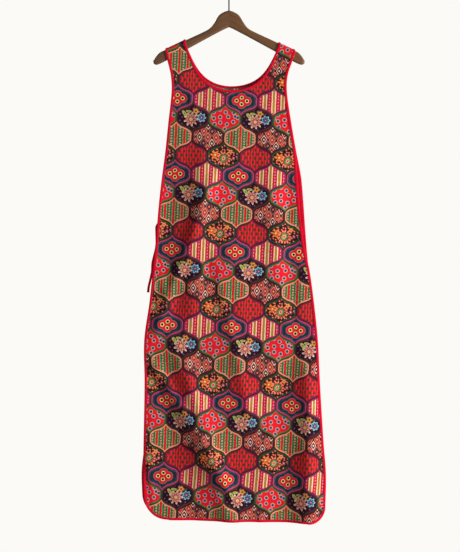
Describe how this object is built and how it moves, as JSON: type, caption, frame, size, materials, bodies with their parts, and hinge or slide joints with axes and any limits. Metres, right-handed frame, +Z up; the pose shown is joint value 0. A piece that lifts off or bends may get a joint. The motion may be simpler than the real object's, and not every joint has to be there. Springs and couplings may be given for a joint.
{
  "type": "apron dress on a wooden hanger",
  "caption": "Maxi tabard apron dress with bound edges, open sides and side ties, hung on a contoured wooden hanger by its wire hook.",
  "frame": {"origin": "inner crest of the hanger's hook, where a rail carries it", "axes": "+Z up, the dress's front faces -Y, +X to the right seen from the front"},
  "size_m": [0.519, 0.0854, 1.5223],
  "materials": {
    "printed_cotton": "printed plain weave, matt",
    "crimson_cotton": "plain weave bias strip, matt",
    "walnut": "dark stain under satin lacquer",
    "black_steel": "black, semi-gloss"
  },
  "bodies": {
    "root": {"front_panel": "printed_cotton", "back_panel": "printed_cotton", "neck_binding": "crimson_cotton", "edge_binding": "crimson_cotton", "tie_front_left": "crimson_cotton", "tie_front_right": "crimson_cotton", "tie_back_left": "crimson_cotton", "tie_back_right": "crimson_cotton", "hanger_arm_left": "walnut", "hanger_arm_right": "walnut", "hanger_hook": "black_steel"}
  },
  "joints": []
}
